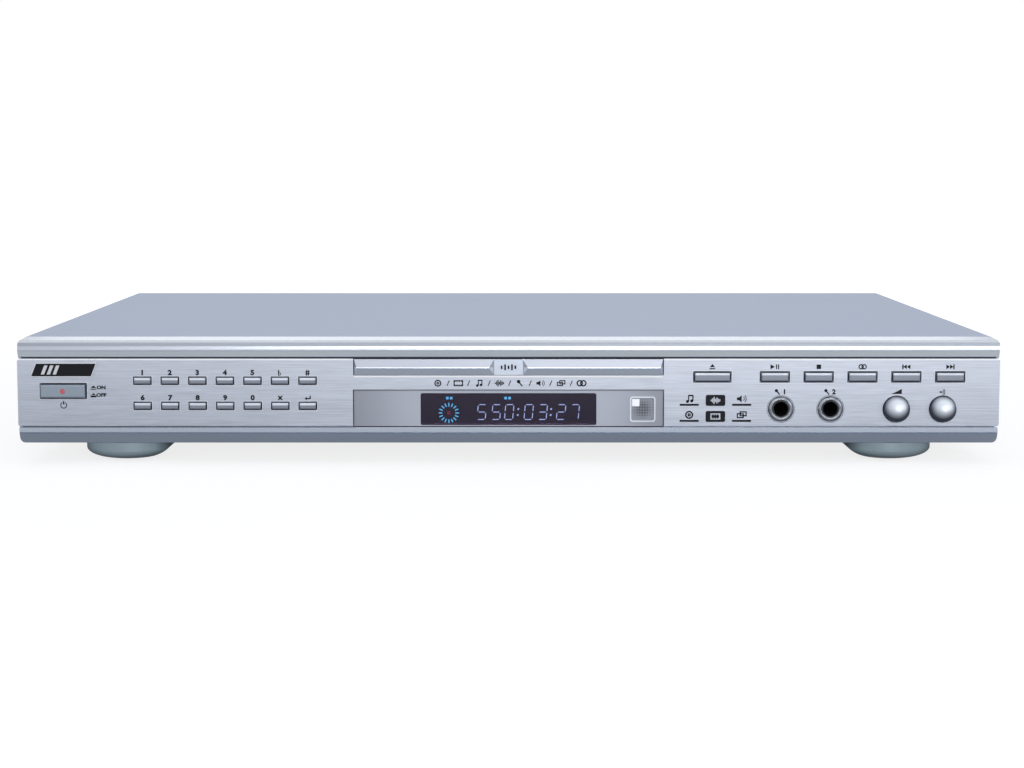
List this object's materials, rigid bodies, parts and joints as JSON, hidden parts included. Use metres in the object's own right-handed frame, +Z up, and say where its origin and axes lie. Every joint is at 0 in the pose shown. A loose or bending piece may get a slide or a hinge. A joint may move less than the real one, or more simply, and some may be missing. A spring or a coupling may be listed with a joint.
{
  "type": "karaoke disc player",
  "caption": "Slim full-width karaoke disc player with a front-loading disc tray, number keys, microphone sockets with level knobs, a lit display window and rear sockets.",
  "frame": {"origin": "on the table, under the middle of the bounding box, knobs and rear sockets included", "axes": "+X to the right as seen from the front, +Y from the front panel to the rear, +Z up"},
  "size_m": [0.4322, 0.275, 0.0556],
  "materials": {
    "cover_paint": "satin silver-blue metallic paint on steel",
    "zinc_steel": "zinc-plated sheet steel",
    "rear_paint": "satin silver-grey paint on steel",
    "frame_silver": "satin silver lacquer",
    "plate_brushed": "horizontally brushed, clear anodised",
    "surround_satin": "satin silver",
    "window_tint": "clear gloss, smoked violet",
    "sensor_tint": "gloss, smoked",
    "foot_chrome": "polished silver coat",
    "foot_rubber": "matt rubber",
    "screw_steel": "plated steel",
    "key_silver": "satin silver lacquer",
    "power_silver": "satin silver lacquer with a red lens",
    "knob_silver": "satin spun metal",
    "jack_metal": "plated nut on a black body",
    "pot_metal": "plated steel",
    "board_green": "solder mask on glass laminate",
    "tube_glass": "clear glass over a dark grid",
    "component_mix": "moulded packages",
    "transformer_tape": "tape and ferrite",
    "phono_metal": "plated barrels",
    "inlet_black": "moulded thermoplastic",
    "loader_black": "moulded thermoplastic",
    "tray_black": "fine-grained thermoplastic",
    "door_silver": "satin silver lacquer",
    "gear_acetal": "natural acetal",
    "motor_steel": "plated steel can",
    "belt_rubber": "square-section rubber",
    "cam_white": "moulded thermoplastic",
    "traverse_grey": "glass-filled thermoplastic",
    "turntable_black": "moulded, rubber ring",
    "sled_metal": "die-cast",
    "rail_steel": "ground rod",
    "bridge_steel": "zinc-plated sheet steel"
  },
  "bodies": {
    "case": {"top_cover": "cover_paint", "chassis_pan": "zinc_steel", "rear_panel": "rear_paint", "front_bezel": "frame_silver", "front_plate": "plate_brushed", "display_surround": "surround_satin", "display_window": "window_tint", "sensor_window": "sensor_tint", "front_feet": "foot_chrome", "rubber_feet": "foot_rubber", "case_screws": "screw_steel", "mic_jacks": "jack_metal", "potentiometers": "pot_metal", "front_board": "board_green", "display_tube": "tube_glass", "circuit_boards": "board_green", "board_components": "component_mix", "transformer": "transformer_tape", "phono_sockets": "phono_metal", "mains_inlet": "inlet_black", "loader_frame": "loader_black", "loading_motor": "motor_steel", "drive_belt": "belt_rubber", "clamp_bridge": "bridge_steel"},
    "tray": {"disc_tray": "tray_black", "tray_door": "door_silver"},
    "traverse": {"traverse_frame": "traverse_grey", "traverse_motors": "motor_steel", "sled_rails": "rail_steel"},
    "sled": {"optical_sled": "sled_metal"},
    "drive_gear": {"drive_gear": "gear_acetal"},
    "pulley_gear": {"pulley_gear": "gear_acetal"},
    "motor_pulley": {"motor_pulley": "gear_acetal"},
    "cam_slider": {"cam_slider": "cam_white"},
    "turntable": {"turntable": "turntable_black"},
    "sled_pinion": {"sled_pinion": "gear_acetal"},
    "clamp_puck": {"clamp_puck": "cam_white"},
    "power_button": {"power_button": "power_silver"},
    "mic_volume_knob": {"mic_volume_knob": "knob_silver"},
    "echo_knob": {"echo_knob": "knob_silver"},
    "key_1": {"key_1": "key_silver"},
    "key_2": {"key_2": "key_silver"},
    "key_3": {"key_3": "key_silver"},
    "key_4": {"key_4": "key_silver"},
    "key_5": {"key_5": "key_silver"},
    "key_flat": {"key_flat": "key_silver"},
    "key_sharp": {"key_sharp": "key_silver"},
    "key_6": {"key_6": "key_silver"},
    "key_7": {"key_7": "key_silver"},
    "key_8": {"key_8": "key_silver"},
    "key_9": {"key_9": "key_silver"},
    "key_0": {"key_0": "key_silver"},
    "key_cancel": {"key_cancel": "key_silver"},
    "key_enter": {"key_enter": "key_silver"},
    "eject_key": {"eject_key": "key_silver"},
    "play_key": {"play_key": "key_silver"},
    "stop_key": {"stop_key": "key_silver"},
    "channel_key": {"channel_key": "key_silver"},
    "previous_key": {"previous_key": "key_silver"},
    "next_key": {"next_key": "key_silver"}
  },
  "joints": [
    {"name": "key_1_press", "type": "slide", "parent": "case", "child": "key_1", "axis": [0, 1, 0], "range_m": [0, 0.0006], "stiffness_N_per_m": 400},
    {"name": "key_2_press", "type": "slide", "parent": "case", "child": "key_2", "axis": [0, 1, 0], "range_m": [0, 0.0006], "stiffness_N_per_m": 400},
    {"name": "key_3_press", "type": "slide", "parent": "case", "child": "key_3", "axis": [0, 1, 0], "range_m": [0, 0.0006], "stiffness_N_per_m": 400},
    {"name": "key_4_press", "type": "slide", "parent": "case", "child": "key_4", "axis": [0, 1, 0], "range_m": [0, 0.0006], "stiffness_N_per_m": 400},
    {"name": "key_5_press", "type": "slide", "parent": "case", "child": "key_5", "axis": [0, 1, 0], "range_m": [0, 0.0006], "stiffness_N_per_m": 400},
    {"name": "key_flat_press", "type": "slide", "parent": "case", "child": "key_flat", "axis": [0, 1, 0], "range_m": [0, 0.0006], "stiffness_N_per_m": 400},
    {"name": "key_sharp_press", "type": "slide", "parent": "case", "child": "key_sharp", "axis": [0, 1, 0], "range_m": [0, 0.0006], "stiffness_N_per_m": 400},
    {"name": "key_6_press", "type": "slide", "parent": "case", "child": "key_6", "axis": [0, 1, 0], "range_m": [0, 0.0006], "stiffness_N_per_m": 400},
    {"name": "key_7_press", "type": "slide", "parent": "case", "child": "key_7", "axis": [0, 1, 0], "range_m": [0, 0.0006], "stiffness_N_per_m": 400},
    {"name": "key_8_press", "type": "slide", "parent": "case", "child": "key_8", "axis": [0, 1, 0], "range_m": [0, 0.0006], "stiffness_N_per_m": 400},
    {"name": "key_9_press", "type": "slide", "parent": "case", "child": "key_9", "axis": [0, 1, 0], "range_m": [0, 0.0006], "stiffness_N_per_m": 400},
    {"name": "key_0_press", "type": "slide", "parent": "case", "child": "key_0", "axis": [0, 1, 0], "range_m": [0, 0.0006], "stiffness_N_per_m": 400},
    {"name": "key_cancel_press", "type": "slide", "parent": "case", "child": "key_cancel", "axis": [0, 1, 0], "range_m": [0, 0.0006], "stiffness_N_per_m": 400},
    {"name": "key_enter_press", "type": "slide", "parent": "case", "child": "key_enter", "axis": [0, 1, 0], "range_m": [0, 0.0006], "stiffness_N_per_m": 400},
    {"name": "eject_key_press", "type": "slide", "parent": "case", "child": "eject_key", "axis": [0, 1, 0], "range_m": [0, 0.0006], "stiffness_N_per_m": 400},
    {"name": "play_key_press", "type": "slide", "parent": "case", "child": "play_key", "axis": [0, 1, 0], "range_m": [0, 0.0006], "stiffness_N_per_m": 400},
    {"name": "stop_key_press", "type": "slide", "parent": "case", "child": "stop_key", "axis": [0, 1, 0], "range_m": [0, 0.0006], "stiffness_N_per_m": 400},
    {"name": "channel_key_press", "type": "slide", "parent": "case", "child": "channel_key", "axis": [0, 1, 0], "range_m": [0, 0.0006], "stiffness_N_per_m": 400},
    {"name": "previous_key_press", "type": "slide", "parent": "case", "child": "previous_key", "axis": [0, 1, 0], "range_m": [0, 0.0006], "stiffness_N_per_m": 400},
    {"name": "next_key_press", "type": "slide", "parent": "case", "child": "next_key", "axis": [0, 1, 0], "range_m": [0, 0.0006], "stiffness_N_per_m": 400},
    {"name": "power_latch", "type": "slide", "parent": "case", "child": "power_button", "axis": [0, -1, 0], "range_m": [-0.0005, 0.0034]},
    {"name": "mic_volume_turn", "type": "hinge", "parent": "case", "child": "mic_volume_knob", "pos_m": [0.1702, -0.13045, 0.0248], "axis": [0, 1, 0], "range_deg": [-140, 140]},
    {"name": "echo_turn", "type": "hinge", "parent": "case", "child": "echo_knob", "pos_m": [0.1905, -0.13045, 0.0248], "axis": [0, 1, 0], "range_deg": [-140, 140]},
    {"name": "tray_slide", "type": "slide", "parent": "case", "child": "tray", "axis": [0, -1, 0], "range_m": [0, 0.134]},
    {"name": "drive_gear_spin", "type": "hinge", "parent": "case", "child": "drive_gear", "pos_m": [-0.046, -0.09695, 0.03525], "axis": [0, 0, 1], "range_deg": [0, 960]},
    {"name": "pulley_gear_spin", "type": "hinge", "parent": "case", "child": "pulley_gear", "pos_m": [-0.02737, -0.1016, 0.03525], "axis": [0, 0, -1], "range_deg": [0, 2880]},
    {"name": "loading_motor_spin", "type": "hinge", "parent": "case", "child": "motor_pulley", "pos_m": [0, -0.10385, 0.03525], "axis": [0, 0, -1], "range_deg": [0, 10805]},
    {"name": "cam_slide", "type": "slide", "parent": "case", "child": "cam_slider", "axis": [1, 0, 0], "range_m": [0, 0.018]},
    {"name": "traverse_tilt", "type": "hinge", "parent": "case", "child": "traverse", "pos_m": [0, 0.03355, 0.03255], "axis": [1, 0, 0], "range_deg": [0, 5]},
    {"name": "sled_slide", "type": "slide", "parent": "traverse", "child": "sled", "axis": [0, 1, 0], "range_m": [0, 0.034]},
    {"name": "sled_pinion_spin", "type": "hinge", "parent": "traverse", "child": "sled_pinion", "pos_m": [0.0264, -0.00185, 0.03525], "axis": [0, 0, -1], "range_deg": [0, 410]},
    {"name": "turntable_spin", "type": "hinge", "parent": "traverse", "child": "turntable", "pos_m": [0, -0.05845, 0.03525], "axis": [0, 0, 1], "continuous": true},
    {"name": "puck_spin", "type": "hinge", "parent": "case", "child": "clamp_puck", "pos_m": [0, -0.05845, 0.04825], "axis": [0, 0, 1], "continuous": true}
  ],
  "couplings": [
    {"joint": "drive_gear_spin", "follows": "tray_slide", "rad_per_m": 125},
    {"joint": "pulley_gear_spin", "follows": "tray_slide", "rad_per_m": 375},
    {"joint": "loading_motor_spin", "follows": "tray_slide", "rad_per_m": 1407.3},
    {"joint": "traverse_tilt", "follows": "cam_slide", "rad_per_m": 4.848},
    {"joint": "sled_pinion_spin", "follows": "sled_slide", "rad_per_m": 208.33},
    {"joint": "puck_spin", "follows": "turntable_spin", "ratio": 1}
  ]
}
